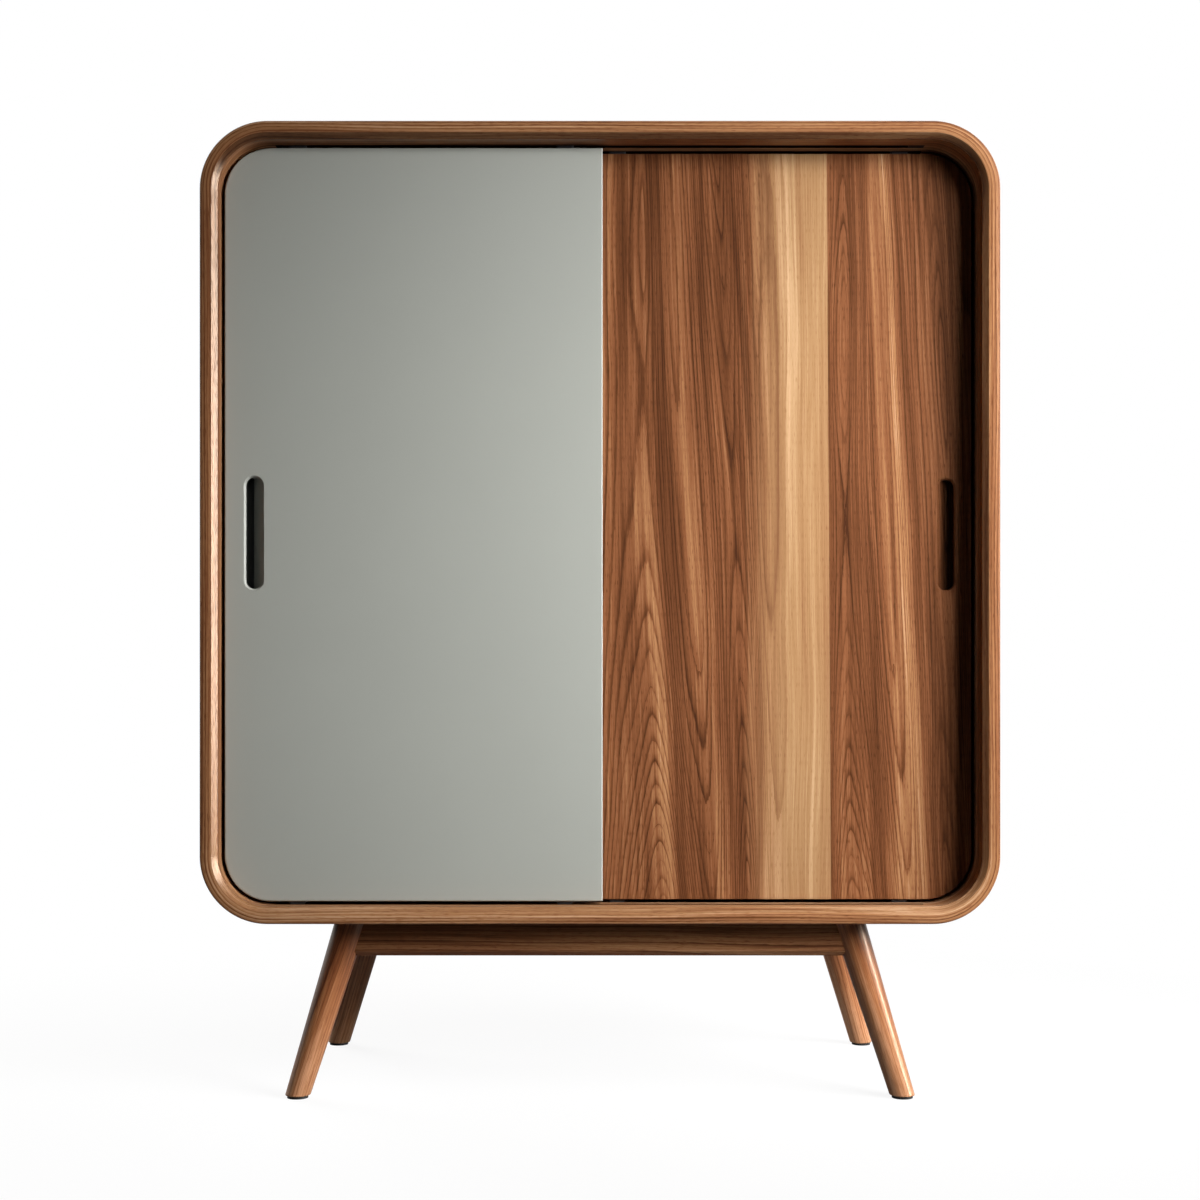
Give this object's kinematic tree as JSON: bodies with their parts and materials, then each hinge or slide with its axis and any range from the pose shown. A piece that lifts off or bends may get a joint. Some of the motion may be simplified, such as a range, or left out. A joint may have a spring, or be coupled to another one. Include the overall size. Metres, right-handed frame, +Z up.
{
  "type": "sliding door cabinet",
  "caption": "Free-standing highboard with round corners, two sliding doors that pass each other and a splayed-leg base.",
  "frame": {"origin": "on the floor, under the middle of the cabinet", "axes": "+Z up, front towards -Y, +X to the right seen from the front"},
  "size_m": [0.9, 0.4, 1.106],
  "materials": {
    "walnut_case": "satin oiled walnut veneer on the case, inside and out",
    "walnut_door": "satin lacquered figured walnut veneer, grain upright",
    "walnut_solid": "satin oiled solid walnut",
    "sage_lacquer": "satin grey-green lacquer on a fibreboard core",
    "joinery_wood": "bare beech and birch plywood",
    "anodised_aluminium": "satin anodised",
    "nylon": "moulded, dark grey",
    "wheel_nylon": "moulded, natural white",
    "bush_bronze": "plain bearing bronze",
    "zinc_steel": "zinc plated",
    "stop_rubber": "moulded, black",
    "foot_pad_plastic": "moulded, black"
  },
  "bodies": {
    "cabinet": {"left_side_panel": "walnut_case", "right_side_panel": "walnut_case", "top_panel": "walnut_case", "bottom_panel": "walnut_case", "top_left_corner": "walnut_case", "top_right_corner": "walnut_case", "bottom_left_corner": "walnut_case", "bottom_right_corner": "walnut_case", "back_panel": "walnut_case", "centre_divider": "walnut_case", "lower_left_shelf": "walnut_case", "lower_right_shelf": "walnut_case", "upper_left_shelf": "walnut_case", "upper_right_shelf": "walnut_case", "corner_tongues": "joinery_wood", "divider_dowels": "joinery_wood", "back_panel_screws": "zinc_steel", "shelf_pins": "zinc_steel", "track_screws": "zinc_steel", "base_screws": "zinc_steel", "leg_bolts": "zinc_steel", "leg_nuts": "zinc_steel", "front_bottom_track": "anodised_aluminium", "rear_bottom_track": "anodised_aluminium", "front_top_track": "anodised_aluminium", "rear_top_track": "anodised_aluminium", "track_stops": "stop_rubber", "front_rail": "walnut_solid", "rear_rail": "walnut_solid", "left_rail": "walnut_solid", "right_rail": "walnut_solid", "front_left_leg": "walnut_solid", "front_right_leg": "walnut_solid", "rear_left_leg": "walnut_solid", "rear_right_leg": "walnut_solid", "front_left_brace": "walnut_solid", "front_right_brace": "walnut_solid", "rear_left_brace": "walnut_solid", "rear_right_brace": "walnut_solid", "foot_pads": "foot_pad_plastic"},
    "front_door": {"front_door_panel": "sage_lacquer", "front_door_left_roller_housing": "nylon", "front_door_right_roller_housing": "nylon", "front_door_top_guides": "nylon", "front_door_axles": "zinc_steel", "front_door_screws": "zinc_steel"},
    "front_left_wheel": {"front_door_left_wheel": "wheel_nylon", "front_door_left_wheel_bush": "bush_bronze"},
    "front_right_wheel": {"front_door_right_wheel": "wheel_nylon", "front_door_right_wheel_bush": "bush_bronze"},
    "rear_door": {"rear_door_panel": "walnut_door", "rear_door_left_roller_housing": "nylon", "rear_door_right_roller_housing": "nylon", "rear_door_top_guides": "nylon", "rear_door_axles": "zinc_steel", "rear_door_screws": "zinc_steel"},
    "rear_left_wheel": {"rear_door_left_wheel": "wheel_nylon", "rear_door_left_wheel_bush": "bush_bronze"},
    "rear_right_wheel": {"rear_door_right_wheel": "wheel_nylon", "rear_door_right_wheel_bush": "bush_bronze"}
  },
  "joints": [
    {"name": "front_door_slide", "type": "slide", "parent": "cabinet", "child": "front_door", "axis": [1, 0, 0], "range_m": [0, 0.382]},
    {"name": "front_left_wheel_spin", "type": "hinge", "parent": "front_door", "child": "front_left_wheel", "pos_m": [-0.345, -0.167, 0.2285], "axis": [0, 1, 0], "range_deg": [0, 2190]},
    {"name": "front_right_wheel_spin", "type": "hinge", "parent": "front_door", "child": "front_right_wheel", "pos_m": [-0.04, -0.167, 0.2285], "axis": [0, 1, 0], "range_deg": [0, 2190]},
    {"name": "rear_door_slide", "type": "slide", "parent": "cabinet", "child": "rear_door", "axis": [1, 0, 0], "range_m": [-0.362, 0]},
    {"name": "rear_left_wheel_spin", "type": "hinge", "parent": "rear_door", "child": "rear_left_wheel", "pos_m": [0.02, -0.145, 0.2285], "axis": [0, 1, 0], "range_deg": [-2075, 0]},
    {"name": "rear_right_wheel_spin", "type": "hinge", "parent": "rear_door", "child": "rear_right_wheel", "pos_m": [0.345, -0.145, 0.2285], "axis": [0, 1, 0], "range_deg": [-2075, 0]}
  ],
  "couplings": [
    {"joint": "front_left_wheel_spin", "follows": "front_door_slide", "rad_per_m": 100},
    {"joint": "front_right_wheel_spin", "follows": "front_door_slide", "rad_per_m": 100},
    {"joint": "rear_left_wheel_spin", "follows": "rear_door_slide", "rad_per_m": 100},
    {"joint": "rear_right_wheel_spin", "follows": "rear_door_slide", "rad_per_m": 100}
  ]
}
